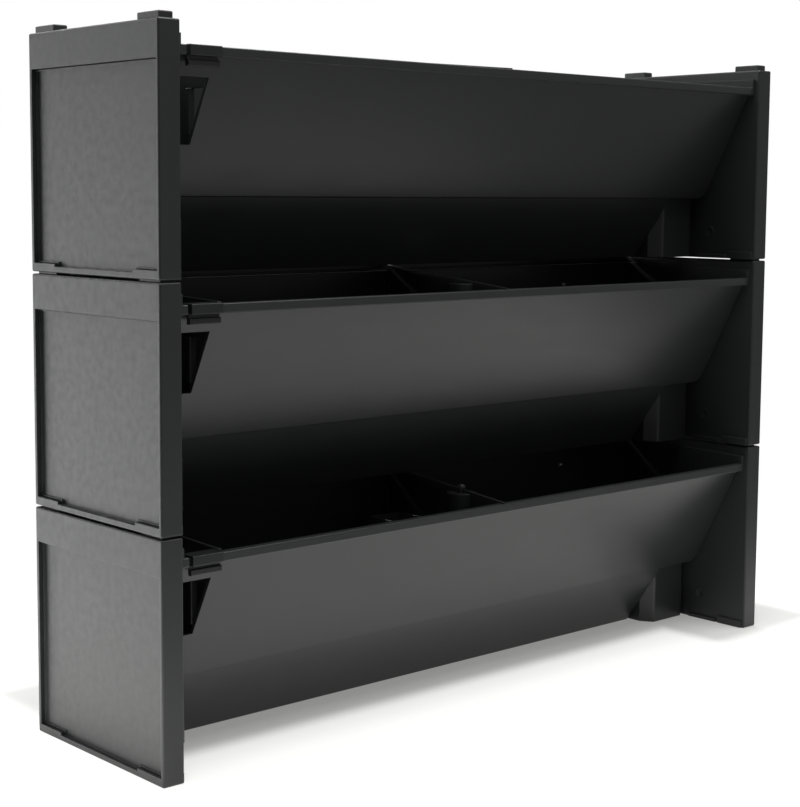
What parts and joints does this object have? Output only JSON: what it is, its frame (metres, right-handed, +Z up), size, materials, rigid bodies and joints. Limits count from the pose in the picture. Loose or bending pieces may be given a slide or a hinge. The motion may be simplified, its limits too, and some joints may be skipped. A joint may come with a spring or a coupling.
{
  "type": "living wall panel",
  "caption": "Stack of moulded planting troughs with leaning fascias, carried between end panels that locate on lugs, for growing plants up a wall.",
  "frame": {"origin": "middle of the footprint, on the ground under the end panels", "axes": "+X to the right along the troughs, +Y to the back, +Z up"},
  "size_m": [0.6, 0.147, 0.4657],
  "materials": {
    "trough_plastic": "satin moulded black",
    "panel_plastic": "satin moulded black",
    "insert_plastic": "satin moulded black",
    "screw_steel": "zinc plated"
  },
  "bodies": {
    "bottom_module": {"bottom_trough": "trough_plastic", "bottom_divider": "insert_plastic", "bottom_pocket_partition": "insert_plastic", "bottom_rim_clip": "insert_plastic", "bottom_overflow_well": "insert_plastic", "bottom_overflow_pipe": "insert_plastic", "bottom_rear_rail": "trough_plastic", "bottom_end_screws": "screw_steel", "bottom_left_end_panel": "panel_plastic", "bottom_right_end_panel": "panel_plastic", "bottom_left_end_plate": "panel_plastic", "bottom_right_end_plate": "panel_plastic", "bottom_left_post": "trough_plastic", "bottom_right_post": "trough_plastic"},
    "middle_module": {"middle_trough": "trough_plastic", "middle_divider": "insert_plastic", "middle_pocket_partition": "insert_plastic", "middle_rim_clip": "insert_plastic", "middle_overflow_well": "insert_plastic", "middle_overflow_pipe": "insert_plastic", "middle_rear_rail": "trough_plastic", "middle_end_screws": "screw_steel", "middle_left_end_panel": "panel_plastic", "middle_right_end_panel": "panel_plastic", "middle_left_end_plate": "panel_plastic", "middle_right_end_plate": "panel_plastic", "middle_left_post": "trough_plastic", "middle_right_post": "trough_plastic"},
    "top_module": {"top_trough": "trough_plastic", "top_divider": "insert_plastic", "top_pocket_partition": "insert_plastic", "top_rim_clip": "insert_plastic", "top_overflow_well": "insert_plastic", "top_overflow_pipe": "insert_plastic", "top_rear_rail": "trough_plastic", "top_end_screws": "screw_steel", "top_left_end_panel": "panel_plastic", "top_right_end_panel": "panel_plastic", "top_left_end_plate": "panel_plastic", "top_right_end_plate": "panel_plastic", "top_left_post": "trough_plastic", "top_right_post": "trough_plastic"}
  },
  "joints": [
    {"name": "middle_lift", "type": "slide", "parent": "bottom_module", "child": "middle_module", "axis": [0, 0, 1], "range_m": [0, 0.16]},
    {"name": "top_lift", "type": "slide", "parent": "middle_module", "child": "top_module", "axis": [0, 0, 1], "range_m": [0, 0.16]}
  ]
}
